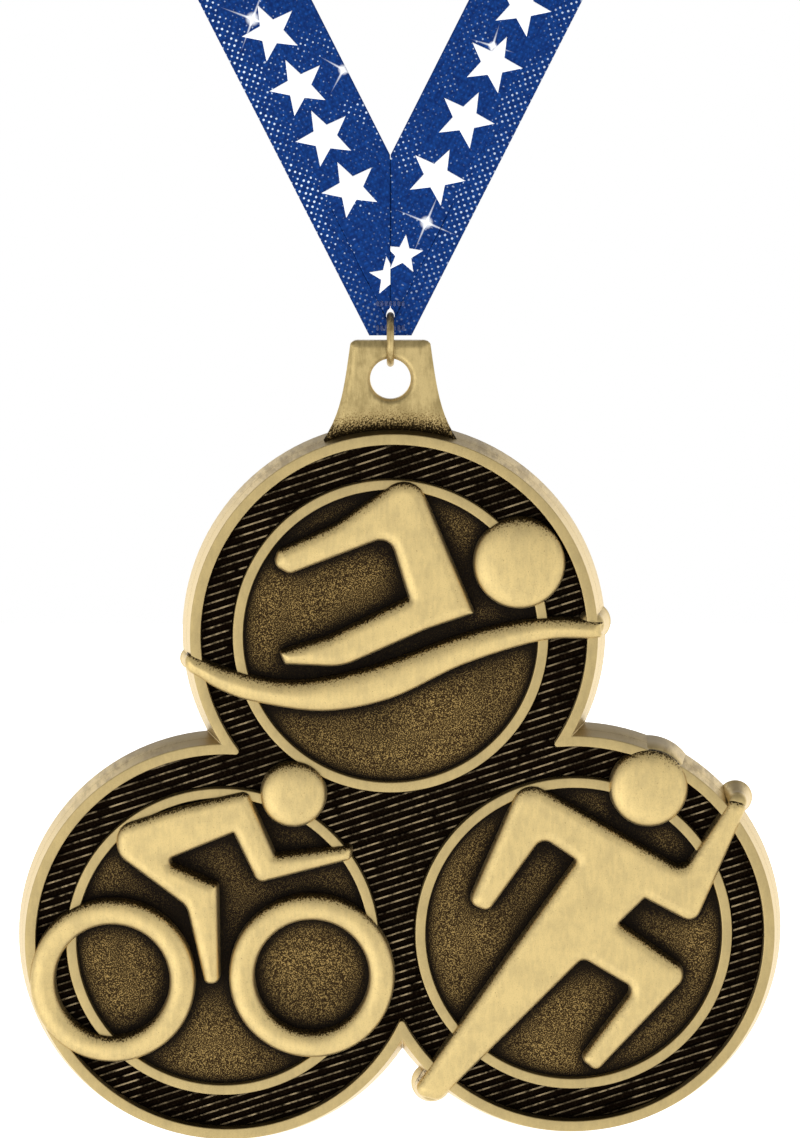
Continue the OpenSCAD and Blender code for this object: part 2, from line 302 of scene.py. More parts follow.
def fill(loops, extra=()):
    """Triangles that fill the loops, using the extra points: (points, faces, how many are on the loops)."""
    points = np.concatenate([*loops, *([np.array(extra)] if len(extra) else [])])
    edges, at = [], 0
    for loop in loops:
        n = len(loop)
        edges += [(at + k, at + (k + 1) % n) for k in range(n)]
        at += n
    scale = 1 / MM
    made, _, faces, origin, _, _ = delaunay_2d_cdt([Vector(p) for p in points * scale], edges, [], 0, 1e-6)
    made = np.array([tuple(v) for v in made]) / scale
    order = [o[0] if o else -1 for o in origin]
    middles = np.array([made[list(f)].mean(0) for f in faces])
    keep = inside(middles, loops)
    points, remap = list(points), {}
    for k, o in enumerate(order):
        if o < 0:
            points.append(made[k])
            o = len(points) - 1
        remap[k] = o
    return np.array(points), [tuple(remap[v] for v in f) for f, k in zip(faces, keep) if k], at


# Distances in mm from an outline at which a raised surface has rows of points of its own
RIM_STEPS = np.array([0.04, 0.1, 0.18, 0.28, 0.4])


def cushion_top(loops, height_at, grid=PATCH, soften=3):
    """Points and faces over the loops whose height follows height_at(points, distance to the edge)."""
    rings = []
    for loop in loops:
        normals = loop_normals(loop)
        hole = loop is not loops[0]
        for step in RIM_STEPS * MM:
            ring = (loop + normals * step) if hole else (loop - normals * step)
            ring = ring[inside(ring, loops)]
            rings.append(ring[edge_distance(ring, loops) > step * 0.97])
    low, high = loops[0].min(0), loops[0].max(0)
    xs, zs = np.arange(low[0], high[0], grid), np.arange(low[1], high[1], grid * 0.866)
    mesh = np.array([(x + (grid / 2 if i % 2 else 0), z) for i, z in enumerate(zs) for x in xs])
    mesh = mesh[inside(mesh, loops)]
    mesh = mesh[edge_distance(mesh, loops) > RIM_STEPS[-1] * MM + grid * 0.6]
    points, faces, on_loops = fill(loops, np.concatenate([*rings, mesh]))
    distance = edge_distance(points, loops)
    distance[:on_loops] = 0
    heights = height_at(points, distance)
    tri = np.array(faces)
    pairs = np.concatenate([tri[:, [0, 1]], tri[:, [1, 2]], tri[:, [2, 0]]])
    for _ in range(soften):
        total, count = np.zeros(len(points)), np.zeros(len(points))
        for a, b in (pairs.T, pairs.T[::-1]):
            np.add.at(total, a, heights[b])
            np.add.at(count, a, 1)
        moved = total / np.maximum(count, 1)
        inner = distance > 0.3 * MM
        heights[inner] += 0.6 * (moved[inner] - heights[inner])
    return points, faces, heights


def raised(name, loops, base, height_at, lean=0.08, soften=3):
    """A closed block whose top follows height_at and whose walls lean out toward its base."""
    points, faces, heights = cushion_top(loops, height_at, soften=soften)
    verts = [place(p, h) for p, h in zip(points, heights)]
    at, feet = 0, []
    for loop in loops:
        hole = loop is not loops[0]
        n = len(loop)
        rise = heights[at : at + n] - base
        out = loop_normals(loop) * (rise * lean)[:, None] * (-1 if hole else 1)
        foot = loop + out
        first = len(verts)
        verts += [place(p, base) for p in foot]
        faces += wall_faces(at, first, n)
        feet.append((foot, first))
        at += n
    floor, floor_faces, _ = fill([f for f, _ in feet])
    lookup = [first + k for f, first in feet for k in range(len(f))]
    if len(floor) == len(lookup):
        faces += [tuple(lookup[v] for v in reversed(f)) for f in floor_faces]
    return new_object(name, verts, faces)


def dome(edge, top, reach):
    """A height that rises in a quarter round from edge to top over a reach from the outline."""
    return lambda points, d: edge + (top - edge) * np.sqrt(1 - (1 - np.clip(d / reach, 0, 1)) ** 2)


def unit(angle):
    return np.array([math.cos(angle), math.sin(angle)])


def bearing(vector):
    return math.atan2(vector[1], vector[0])


def notch_centre(a, b, rounding):
    """Centre of the circle that rounds the notch between two lobes, given as (centre, radius)."""
    (p, r), (q, t) = a, b
    span = q - p
    d = np.linalg.norm(span)
    r, t = r + rounding, t + rounding
    reach = (d * d + r * r - t * t) / (2 * d)
    aside = np.array([-span[1], span[0]]) / d
    aside *= np.sign(aside @ (p - sum(LOBES) / 3))
    return p + span / d * reach + aside * math.sqrt(r * r - reach * reach)


def lobe_union(offset, steps=84, notch_steps=8):
    """Outline of the three lobes, anticlockwise, outside the rim's inner edge by an offset."""
    rounding = max(POINT_R - offset, 0.06 * MM)
    lobes = [(c, r + offset) for c, r in RIMS]
    notches = [notch_centre(lobes[i], lobes[(i + 1) % 3], rounding) for i in range(3)]
    made = []
    for i, (centre, radius) in enumerate(lobes):
        start, end = bearing(notches[i - 1] - centre), bearing(notches[i] - centre)
        end += 2 * math.pi if end < start else 0
        made += [centre + radius * unit(a) for a in np.linspace(start, end, steps)]
        middle = notches[i]
        start, end = bearing(centre - middle), bearing(lobes[(i + 1) % 3][0] - middle)
        turn = (end - start + math.pi) % (2 * math.pi) - math.pi
        made += [middle + rounding * unit(start + turn * k / notch_steps) for k in range(1, notch_steps)]
    return np.array(made)


def lobe_sweep(name, profile, cap_front=False, cap_back=False):
    """Sweeps points (distance outside the rim's inner edge, height) round the three lobes."""
    rows = [lobe_union(s) for s, _ in profile]
    cols = len(rows[0])
    verts = [place(p, h) for row, (_, h) in zip(rows, profile) for p in row]
    open_ends = cap_front or cap_back
    faces = grid_faces(len(rows), cols, close_rows=not open_ends, close_cols=True)
    for cap, row in ((cap_front, 0), (cap_back, len(rows) - 1)):
        if cap:
            _, triangles, _ = fill([rows[row]])
            faces += [tuple(row * cols + v for v in f) for f in triangles]
    return new_object(name, verts, faces)


def tube(name, path, radius, sides=16):
    """A round wire along a path, with flat ends."""
    rows, n = [], len(path)
    turns = [2 * math.pi * k / sides for k in range(sides)]
    for i, p in enumerate(path):
        along = (path[min(i + 1, n - 1)] - path[max(i - 1, 0)]).normalized()
        side = along.orthogonal() if i == 0 else (side - along * side.dot(along))
        side = side.normalized()
        up = along.cross(side)
        rows.append([p + (side * math.cos(a) + up * math.sin(a)) * radius for a in turns])
    return skin(name, rows)


# ---- node graphs


class Graph:
    """A short way to write the nodes of a material, or of a world."""

    def __init__(self, name, world=False):
        self.owner = (bpy.data.worlds if world else bpy.data.materials).new(name)
        self.owner.use_nodes = True
        self.tree = self.owner.node_tree
        self.shader = self.tree.nodes["Background" if world else "Principled BSDF"]
        self.coords = self.node("ShaderNodeTexCoord").outputs["Generated" if world else "Object"]

    def node(self, kind, inputs=None, **settings):
        made = self.tree.nodes.new(kind)
        for key, value in settings.items():
            setattr(made, key, value)
        for key, value in (inputs or {}).items():
            self.put(made.inputs[key], value)
        return made

    def put(self, socket, value):
        if isinstance(value, bpy.types.NodeSocket):
            self.tree.links.new(value, socket)
        elif isinstance(value, tuple) and len(value) == 3 and socket.type == "RGBA":
            socket.default_value = (*value, 1)
        else:
            socket.default_value = value

    def math(self, operation, a, b=0.0, clamp=False):
        return self.node("ShaderNodeMath", {0: a, 1: b}, operation=operation, use_clamp=clamp).outputs[0]

    def times(self, first, *others):
        for other in others:
            first = self.math("MULTIPLY", first, other)
        return first

    def plus(self, a, b, clamp=False):
        return self.math("ADD", a, b, clamp)

    def minus(self, a, b, clamp=False):
        return self.math("SUBTRACT", a, b, clamp)

    def height(self):
        """Height of the surface toward the viewer."""
        return self.times(self.parts(self.coords)[1], -1.0)

    def facing(self, axis):
        """The surface normal's part along X, Y or Z, given as 0, 1 or 2."""
        return self.parts(self.node("ShaderNodeTexCoord").outputs["Normal"])[axis]

    def ramp(self, value, low, high, out_low=0.0, out_high=1.0, smooth=True):
        inputs = dict(enumerate((value, low, high, out_low, out_high)))
        kind = "SMOOTHSTEP" if smooth else "LINEAR"
        return self.node("ShaderNodeMapRange", inputs, clamp=True, interpolation_type=kind).outputs[0]

    def mix(self, factor, a, b):
        return self.node("ShaderNodeMix", {0: factor, 6: a, 7: b}, data_type="RGBA").outputs[2]

    def scaled(self, vector, scale, turn=(0, 0, 0)):
        inputs = {"Vector": vector, "Scale": scale, "Rotation": turn}
        return self.node("ShaderNodeMapping", inputs).outputs[0]

    def texture(self, kind, vector, per_mm, inputs, **settings):
        n = self.node(kind, {"Vector": vector or self.coords, "Scale": per_mm / MM, **inputs}, **settings)
        return n.outputs

    def noise(self, per_mm, detail=3.0, rough=0.55, vector=None):
        return self.texture("ShaderNodeTexNoise", vector, per_mm, {"Detail": detail, "Roughness": rough})[0]

    def cells(self, per_mm, vector=None, randomness=1.0):
        return self.texture("ShaderNodeTexVoronoi", vector, per_mm, {"Randomness": randomness})["Distance"]

    def bands(self, direction, per_mm, vector=None, distortion=0.0):
        settings = {"wave_type": "BANDS", "bands_direction": direction}
        inputs = {"Distortion": distortion}
        return self.texture("ShaderNodeTexWave", vector, per_mm, inputs, **settings)["Fac"]

    def parts(self, vector):
        return self.node("ShaderNodeSeparateXYZ", {0: vector}).outputs

    def bump(self, height, distance, strength=1.0, normal=None):
        inputs = {"Height": height, "Distance": distance, "Strength": strength}
        if normal:
            inputs["Normal"] = normal
        return self.node("ShaderNodeBump", inputs).outputs[0]

    def shelter(self, distance):
        """1 in the open, toward 0 in corners and beside walls."""
        return self.node("ShaderNodeAmbientOcclusion", {"Distance": distance}, samples=8).outputs["AO"]

    def set(self, **values):
        names = {
            "color": "Base Color",
            "metallic": "Metallic",
            "roughness": "Roughness",
            "normal": "Normal",
            "sheen": "Sheen Weight",
            "sheen_roughness": "Sheen Roughness",
            "specular": "Specular IOR Level",
        }
        for key, value in values.items():
            self.put(self.shader.inputs[names[key]], value)
        return self.owner


GOLD_DULL = (0.38, 0.292, 0.134)
GOLD_SOFT = (0.445, 0.34, 0.153)
GOLD = (0.54, 0.42, 0.195)
GOLD_LIGHT = (0.61, 0.465, 0.205)
# Bright tone of the casting's walls: a painted highlight
GOLD_WALL_HIGHLIGHT = (0.70, 0.545, 0.275)
GOLD_DEEP = (0.26, 0.18, 0.07)
GOLD_SHADE = (0.22, 0.16, 0.065)
TAB_TONES = ((0.31, 0.235, 0.10), (0.50, 0.385, 0.175))
FACE_TONES = (TAB_TONES[1], GOLD_LIGHT)
TRIM_TONES = (GOLD_DULL, GOLD_SOFT)
# Darkest tone: patina in hollows, and painted shade on upward slopes
PATINA_AND_SHADE = (0.018, 0.012, 0.005)


def up_facing(g, low, high):
    """0 to 1 as the surface turns to face upward."""
    return g.ramp(g.facing(2), low, high)


def sideways(g):
    """0 on surfaces that look along Y, toward 1 on the casting's walls."""
    return g.ramp(g.math("ABSOLUTE", g.facing(1)), 0.35, 0.9, 1.0, 0.0)


def lit_and_shaded_wall_tone(g):
    """Worn plating on the casting's walls, painted bright as a highlight; where they face upward it is
    painted dark as shade and streaked with patina.
    """
    drawn = g.scaled(g.coords, (1.0, 0.3, 1.0))
    streaks = g.ramp(g.noise(0.9, 4.0, 0.7, drawn), 0.40, 0.64, 0.15, 1.0)
    worn = g.mix(g.times(up_facing(g, 0.45, 0.95), streaks), GOLD_WALL_HIGHLIGHT, GOLD_DEEP)
    # Walls that face upward: painted shade
    return g.mix(up_facing(g, 0.74, 0.99), worn, GOLD_SHADE)


def antique_gold(name, tones, patina_span=None, near=None, upslope_shade_and_patina=0.0, grain=0.010, walls=False):
    """Plated casting with a brushed grain. Patina gathers in corners, and between two heights when a patina
    span is given. The casting darkens near a circle when near is (centre, radius, reach). Upward slopes take
    dark speckles in the amount given, a painted shade that is partly patina. With walls, the casting's side
    walls take the wall tone, with its painted highlight and painted shade."""
    g = Graph(name)
    speckle = g.noise(6.2, 2.0, 0.7)
    mottle = g.noise(0.45, 4.0, 0.65)
    clean_and_unshaded = g.ramp(g.shelter(0.7 * MM), 0.15, 0.5)
    if patina_span:
        height = g.height()
        shift = g.times(g.minus(speckle, 0.5), 0.5 * MM)
        clean_and_unshaded = g.times(clean_and_unshaded, g.ramp(g.plus(height, shift), *patina_span))
    # Darkens the casting within a reach outside a circle
    if near:
        centre, radius, reach = near
        ends = {0: g.scaled(g.coords, (1, 0, 1)), 1: (centre[0], 0, centre[1])}
        away = g.node("ShaderNodeVectorMath", ends, operation="DISTANCE")
        ragged = g.times(g.minus(speckle, 0.5), 2.2 * reach)
        open_part = g.ramp(g.plus(away.outputs["Value"], ragged), radius, radius + reach)
        clean_and_unshaded = g.times(clean_and_unshaded, open_part)
    if upslope_shade_and_patina:
        # Dark speckles on upward slopes: painted shade, partly patina
        slope = g.times(up_facing(g, 0.1, 0.9), upslope_shade_and_patina)
        dark = g.ramp(g.plus(speckle, slope), 0.60, 0.86)
        clean_and_unshaded = g.times(clean_and_unshaded, g.minus(1.0, g.times(dark, 0.95)))
    brushed = g.noise(2.6, 3.0, 0.65, g.scaled(g.coords, (1.0, 1.0, 0.22), (0, 0.7, 0)))
    blotch = g.plus(g.times(mottle, 0.6), g.times(brushed, 0.4))
    tone = g.mix(g.ramp(blotch, 0.36, 0.62), *tones)
    if walls:
        tone = g.mix(sideways(g), tone, lit_and_shaded_wall_tone(g))
    worn = g.ramp(g.noise(7.5, 2.0, 0.7), 0.30, 0.60, 0.72, 1.0)
    clean_and_unshaded = g.times(clean_and_unshaded, worn)
    # Where the metal is not clean it darkens toward patina and painted shade
    tone = g.mix(g.ramp(clean_and_unshaded, 0.2, 0.95), GOLD_DEEP, tone)
    color = g.mix(g.ramp(clean_and_unshaded, 0.0, 0.4), PATINA_AND_SHADE, tone)
    fine = g.noise(8.0, 3.0, 0.65)
    surface = g.plus(g.times(fine, 0.7), g.times(brushed, 0.7))
    normal = g.bump(surface, grain * MM, 1.0)
    roughness = g.ramp(clean_and_unshaded, 0.0, 0.8, 0.6, 0.42)
    return g.set(color=color, metallic=1.0, roughness=roughness, normal=normal)


def stippled_floor(name):
    """Sand-cast floor: bright grit on a near-black patina. Painted shade keeps it dark near the walls; toward
    its open middle it turns browner, and its grit shows more, as painted light.
    """
    g = Graph(name)
    grit = g.noise(9.5, 1.0, 0.6)
    fine = g.noise(17.0, 2.0, 0.7)
    cloud = g.noise(0.16, 2.0, 0.5)
    # Broad shelter masks: painted shade near the walls, painted light in the open middle
    near_wall = g.ramp(g.shelter(3.4 * MM), 0.62, 0.99)
    open_air = g.ramp(g.shelter(7.0 * MM), 0.55, 0.95, 0.1, 1.0)
    lit = g.times(open_air, near_wall, g.ramp(cloud, 0.3, 0.7, 0.65, 1.0))
    grains = g.plus(g.times(grit, 0.7), g.times(fine, 0.3))
    points = g.ramp(grains, 0.49, 0.62)
    base = g.mix(lit, (0.003, 0.0015, 0.0006), (0.034, 0.018, 0.0045))
    color = g.mix(g.times(points, g.ramp(lit, 0, 1, 0.03, 1.0)), base, (0.41, 0.275, 0.092))
    normal = g.bump(grains, 0.07 * MM, 1.0)
    return g.set(color=color, metallic=0.9, roughness=0.48, normal=normal)


def hatch_metal(name):
    """Thin ridges: their worn tops shine and their sides stay dark; painted shade keeps them dark near walls.
    """
    g = Graph(name)
    height = g.height()
    ridge_top = height_span("hatched_field")[1]
    wear = g.noise(0.8, 4.0, 0.7)
    scuff = g.noise(0.2, 2.0, 0.5)
    top = g.ramp(height, ridge_top - 0.03 * MM, ridge_top - 0.01 * MM)
    # Painted shade: the ridges stay dark within about 1.8 mm of walls
    open_air = g.ramp(g.shelter(1.8 * MM), 0.35, 0.75)
    worn = g.times(g.ramp(wear, 0.34, 0.66), g.ramp(scuff, 0.3, 0.6, 0.3, 1.0))
    shine = g.times(top, worn, open_air)
    color = g.mix(shine, (0.005, 0.003, 0.002), (0.30, 0.23, 0.13))
    normal = g.bump(wear, 0.03 * MM, 0.6)
    return g.set(color=color, metallic=1.0, roughness=g.ramp(shine, 0, 1, 0.6, 0.36), normal=normal)


def plate_metal(name):
    """The plate: black field in front, plated wall with the wall tone's painted highlight and painted shade,
    and a satin grained back.
    """
    g = Graph(name)
    height = g.height()
    field = g.ramp(height, FIELD_H - 0.03 * MM, FIELD_H - 0.01 * MM)
    grain = g.noise(5.0, 3.0, 0.7)
    mottle = g.noise(0.3, 4.0, 0.6)
    cast = g.cells(1.6)
    open_air = g.ramp(g.shelter(0.8 * MM), 0.3, 0.85)
    plated = g.mix(sideways(g), g.mix(g.ramp(mottle, 0.3, 0.7), GOLD, GOLD_LIGHT), lit_and_shaded_wall_tone(g))
    grime = g.times(open_air, g.ramp(grain, 0.25, 0.5, 0.6, 1.0))
    plated = g.mix(grime, GOLD_DEEP, plated)
    black = g.mix(g.ramp(grain, 0.45, 0.8), (0.004, 0.002, 0.001), (0.018, 0.012, 0.006))
    color = g.mix(field, plated, black)
    normal = g.bump(grain, 0.015 * MM, 0.8)
    normal = g.bump(cast, 0.01 * MM, 0.5, normal)
    roughness = g.ramp(field, 0, 1, 0.42, 0.62)
    return g.set(color=color, metallic=1.0, roughness=roughness, normal=normal)


def glint(g, x, z, half_length, half_width, turn):
    """A painted four-rayed glint, a painted highlight, at a place on the front, 0 to 1."""
    inputs = {"Vector": g.coords, "Location": (x, 0, z), "Rotation": (0, turn, 0)}
    local = g.node("ShaderNodeMapping", inputs, vector_type="TEXTURE").outputs[0]
    u, _, w = (g.math("ABSOLUTE", part) for part in g.parts(local))
    rays = []
    for a, b in ((u, w), (w, u)):
        taper = g.minus(1.0, g.math("DIVIDE", a, half_length), clamp=True)
        across = g.math("DIVIDE", b, g.plus(g.times(taper, half_width), 0.01 * MM))
        rays.append(g.times(g.minus(1.0, across, clamp=True), taper))
    core = g.plus(g.math("POWER", u, 2.0), g.math("POWER", w, 2.0))
    halo = g.ramp(core, 0.0, (half_length * 0.22) ** 2, 0.8, 0.0)
    return g.plus(g.plus(*rays), halo, clamp=True)


def woven_ribbon(name):
    """Deep blue ribbon with a fine weave and a staggered print of pale dots, in the cloth's coordinates."""
    g = Graph(name)
    cloth = g.node("ShaderNodeAttribute", attribute_name="cloth").outputs["Vector"]
    along, across, _ = g.parts(cloth)
    threads = [g.bands("X", 0.62, cloth, 0.6), g.bands("Y", 0.8, cloth, 0.6)]
    lattice = g.scaled(cloth, (1, 1, 0), (0, 0, math.pi / 4))
    dots = g.cells(1.9, lattice, randomness=0.2)
    patch = g.noise(0.16, 3.0, 0.65, cloth)
    print_side = g.ramp(across, 0.3 * MM, 3.6 * MM, 0.2, 0.0)
    strength = g.plus(patch, print_side)
    size = g.ramp(strength, 0.40, 0.72, 0.13, 0.25)
    dot = g.ramp(g.minus(size, dots), 0.0, 0.08)
    x, _, z = g.parts(g.coords)
    # The dots are dimmer toward the bottom of the strands and toward the right
    worn = g.times(g.ramp(z, TAB_TOP + 2 * MM, TAB_TOP + 9 * MM, 0.2, 1.0), g.ramp(x, 0, 4 * MM, 1.0, 0.7))
    light = g.times(g.ramp(strength, 0.42, 0.72, 0.10, 1.0), worn)
    tone = g.noise(1.8, 4.0, 0.75, cloth)
    blue = g.mix(g.ramp(tone, 0.3, 0.72), (0.003, 0.024, 0.145), (0.008, 0.066, 0.305))
    woven = g.times(threads[0], threads[1])
    blue = g.mix(g.ramp(woven, 0.2, 0.9, 0.4, 0.0), blue, (0.001, 0.008, 0.05))
    color = g.mix(g.times(dot, light), blue, (0.70, 0.82, 0.98))
    front = g.ramp(g.facing(1), -0.2, 0.0, 1.0, 0.0)
    # Painted glints: painted highlights, on the front only
    for glint_x, glint_z, half_length, turn in GLINTS:
        shine = g.times(glint(g, glint_x, glint_z, half_length, 0.16 * MM, turn), front)
        color = g.mix(shine, color, (0.95, 0.97, 1.0))
    edge = g.math("MINIMUM", across, g.minus(RIBBON_W, across))
    color = g.mix(g.ramp(edge, 0.0, 0.3 * MM, 0.4, 0.0), color, (0.003, 0.02, 0.12))
    normal = g.bump(g.plus(*threads), 0.015 * MM, 0.7)
    return g.set(color=color, roughness=0.8, normal=normal, specular=0.08)


def thread(name):
    g = Graph(name)
    color = g.mix(g.noise(2.0), (0.004, 0.012, 0.07), (0.02, 0.06, 0.25))
    normal = g.bump(g.bands("DIAGONAL", 2.5), 0.03 * MM)
    return g.set(color=color, roughness=0.6, normal=normal, sheen=0.4)


def white_print(name):
    """Heat-transferred white film that takes a little of the weave below it."""
    g = Graph(name)
    weave = g.noise(3.0, 2.0, 0.6)
    wear = g.ramp(g.noise(0.8, 4.0, 0.7), 0.62, 0.75, 0.0, 0.25)
    color = g.mix(wear, (0.90, 0.91, 0.93), (0.62, 0.68, 0.82))
    return g.set(color=color, roughness=0.45, normal=g.bump(weave, 0.02 * MM, 0.6))


def ribbed_elastic(name):
    g = Graph(name)
    knit = g.noise(3.5, 3.0, 0.7)
    color = g.mix(g.ramp(knit, 0.3, 0.7), (0.006, 0.006, 0.008), (0.035, 0.036, 0.042))
    surface = g.plus(g.bands("X", 0.45), g.times(knit, 0.4))
    return g.set(color=color, roughness=0.75, normal=g.bump(surface, 0.08 * MM), sheen=0.5)


def pale_floor(name):
    """White studio paper that glows a little, so that it stays white in the dim light from above."""
    g = Graph(name)
    color = g.mix(g.noise(0.004, 3.0), (0.86, 0.86, 0.86), (0.90, 0.90, 0.90))
    g.put(g.shader.inputs["Emission Color"], (1.0, 1.0, 1.0))
    g.put(g.shader.inputs["Emission Strength"], 0.8)
    return g.set(color=color, roughness=0.7)


# ---- finishing a piece


def finish(obj, material, slot, body, *nodes):
    obj.data.materials.clear()
    obj.data.materials.append(material)
    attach(obj, body)
    if nodes:
        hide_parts(*nodes)
    return obj


def dress(node, material):
    """Gives a CAD node that stays its material."""
    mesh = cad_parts[node].data
    mesh.materials.clear()
    mesh.materials.append(material)


# ---- the casting


def build_rim(gold):
    outer = RIM_W + DRAFT * (RIM_H - FIELD_H)
    profile = [(0.04 * MM, FIELD_H)]
    profile += quarter((0, RIM_H - 0.1 * MM), (0.1 * MM, RIM_H))
    profile += quarter((RIM_W - 0.08 * MM, RIM_H), (RIM_W + 0.03 * MM, RIM_H - 0.1 * MM), up_first=False)
    profile += [(outer, FIELD_H)]
    return finish(sharpen(lobe_sweep("rim_band", profile), 40), gold, "antique_gold", "medal", "rim")


def build_plate(metal):
    side = lambda h: RIM_W + DRAFT * (RIM_H - h)
    round_h = 0.3 * MM
    border, sink = 1.3 * MM, 0.2 * MM
    shoulder = BACK_H + round_h
    profile = [(side(FIELD_H), FIELD_H), (side(shoulder), shoulder)]
    profile += quarter((side(shoulder), shoulder), (side(BACK_H) - round_h, BACK_H))[1:]
    inner = side(BACK_H) - border
    profile += [(inner, BACK_H), (inner - 0.12 * MM, BACK_H + sink)]
    plate = lobe_sweep("casting_plate", profile, cap_front=True, cap_back=True)
    return finish(sharpen(plate, 40), metal, "antique_bronze", "medal", "base_plate")


def dome_profile(radius, foot, top, swell, rise=1.0, steps=22):
    """(radius, height) points of a domed top above its foot."""
    turns = np.linspace(0, math.pi / 2, steps)[1:-1]
    made = [(radius * math.cos(a) ** swell, foot + (top - foot) * math.sin(a) ** rise) for a in turns]
    return made + [(0, top)]


def knob(centre, radius, top):
    """A drafted round boss with a domed top."""
    at = lambda h: radius + DRAFT * (RIM_H - h)
    dome_foot = top - 0.8 * MM
    foot = BACK_H + 0.25 * MM
    profile = [(0, foot), (at(foot) - 0.2 * MM, foot), (at(foot), foot + 0.2 * MM)]
    profile += [(at(h), h) for h in np.linspace(foot + 0.35 * MM, dome_foot, 5)]
    profile += dome_profile(at(dome_foot), dome_foot, top, 0.8, steps=14)
    return lathe("knob", centre, profile, 64)


def head_boss(centre, radius, rim, steps=48):
    """The wall of the casting round a head that reaches past the rim, closed along the rim's middle."""
    lobe, inner = rim[0], rim[1] + RIM_W / 2
    away = centre - lobe
    reach, facing = np.linalg.norm(away), bearing(away)
    top = RIM_H - 0.1 * MM
    rows = []
    levels = [(0.25, BACK_H + 0.05 * MM), (0, BACK_H + 0.3 * MM), (0, top - 0.5 * MM)]
    levels += [(0.6 * (1 - math.cos(a)), top - 0.5 * MM * (1 - math.sin(a))) for a in (0.4, 0.8, 1.2, 1.57)]
    for inset, h in levels:
        r = radius + DRAFT * (RIM_H - h) - inset * MM
        opening = math.acos((inner**2 - reach**2 - r**2) / (2 * reach * r))
        span = math.acos((reach**2 + inner**2 - r**2) / (2 * reach * inner))
        arc = [centre + r * unit(facing + a) for a in np.linspace(-opening, opening, steps)]
        back = [lobe + inner * unit(facing + a) for a in np.linspace(span, -span, 12)[1:-1]]
        rows.append([place(p, h) for p in arc + back])
    return skin("boss", rows)


# Small bosses: (lobe, place from its centre in mm, radius in mm)
KNOBS = [
    (0, (-19.1, -2.4), 0.2),
    (0, (19.2, 1.15), 1.0),
    (2, (15.6, 12.9), 0.75),
    (2, (-13.65, -15.25), 1.05),
]


def build_bosses(gold):
    """Bosses of the casting that carry the figures where they reach past the rim."""
    made = [knob(LOBES[i] + np.array(at) * MM, r * MM, RIM_H + 0.05 * MM) for i, at, r in KNOBS]
    centre, radius = disc_of("runner_head")
    made.append(head_boss(centre, radius, RIMS[2]))
    bosses = join("rim_bosses", made)
    return finish(sharpen(bosses, 60), gold, "antique_gold", "medal")


CHAMFER = 0.38 * MM


def build_tab(gold):
    """The tab, bevelled alike on both sides, with a chamfered hole."""
    outer, hole = outlines("hanging_tab", 0.2 * MM)[:2]
    bevel_w, bevel_drop = 0.65 * MM, 0.3 * MM
    centre = hole.mean(0)
    hole_r = np.linalg.norm(hole - centre, axis=1).mean()
    bore_r = hole_r - CHAMFER

    def face(points, d):
        from_hole = np.linalg.norm(points - centre, axis=1) - bore_r
        edge = np.where(from_hole < 1.2 * MM, bevel_w, d)
        fall = bevel_drop * (1 - np.clip(edge / bevel_w, 0, 1)) ** 1.2
        lip = 0.34 * MM * (1 - np.clip(from_hole / CHAMFER, 0, 1)) ** 1.2
        return TAB_H - fall - lip

    loops = [outer, centre + (hole - centre) * bore_r / hole_r]
    points, faces, heights = cushion_top(loops, face, soften=1)
    count = len(points)
    verts = [place(p, h) for p, h in zip(points, heights)] + [place(p, -h) for p, h in zip(points, heights)]
    faces = faces + [tuple(count + v for v in reversed(f)) for f in faces]
    at = 0
    for loop in loops:
        n = len(loop)
        faces += wall_faces(at, count + at, n)
        at += n
    return finish(sharpen(new_object("tab", verts, faces), 50), gold, "antique_gold", "medal", "hanging_tab")


RING_W = 1.1 * MM
TYRE_W = 2.5 * MM


def wheel_gap(centre, radius):
    """Start and end, round a circle, of the stretch that isn't under the front wheel's inside."""
    wheel, wheel_r = disc_of("front_wheel")
    away = wheel - centre
    reach, cut = np.linalg.norm(away), wheel_r - TYRE_W / 2
    half = math.acos((radius**2 + reach**2 - cut**2) / (2 * radius * reach))
    return bearing(away) + half, bearing(away) - half + 2 * math.pi


def build_rings(gold):
    lean, edge, bulge = 0.08 * MM, 0.1 * MM, 0.02 * MM
    for node in ("swim_ring", "cycle_ring", "run_ring"):
        centre, outer = disc_of(node)
        inner = outer - RING_W
        left, right = inner + lean, outer - lean
        profile = [(inner, FIELD_H), *quarter((left - bulge, RING_H - edge), (left + edge, RING_H))]
        profile += quarter((right - edge, RING_H), (right + bulge, RING_H - edge), up_first=False)
        profile += [(outer, FIELD_H)]
        name = node.replace("_ring", "_circle")
        if node == "cycle_ring":
            ring = arc_band(name, centre, profile, *wheel_gap(centre, outer - RING_W / 2))
        else:
            ring = closed_lathe(name, centre, profile)
        finish(sharpen(ring, 45), gold, "antique_gold", "medal", node)


def floor_disc(name, centre, radius, sink):
    """A floor disc that sinks toward its middle."""
    edge_h = height_span("cycle_dish")[1]
    profile = [(0, FIELD_H), (radius, FIELD_H)]
    profile += [(radius * k / 24, edge_h - sink * (1 - (k / 24) ** 2)) for k in range(24, -1, -1)]
    return sharpen(lathe(name, centre, profile), 45)


def build_dishes(metal):
    for sport in ("swim", "cycle", "run"):
        centre, outer = disc_of(sport + "_ring")
        dish = floor_disc(sport + "_floor", centre, outer - RING_W, 0.25 * MM)
        finish(dish, metal, "dark_patina", "medal", sport + "_dish")
    centre, radius = disc_of("front_wheel")
    wheel_floor = floor_disc("wheel_floor", centre, radius - TYRE_W * 0.6, 0.083 * MM)
    finish(wheel_floor, metal, "dark_patina", "medal")


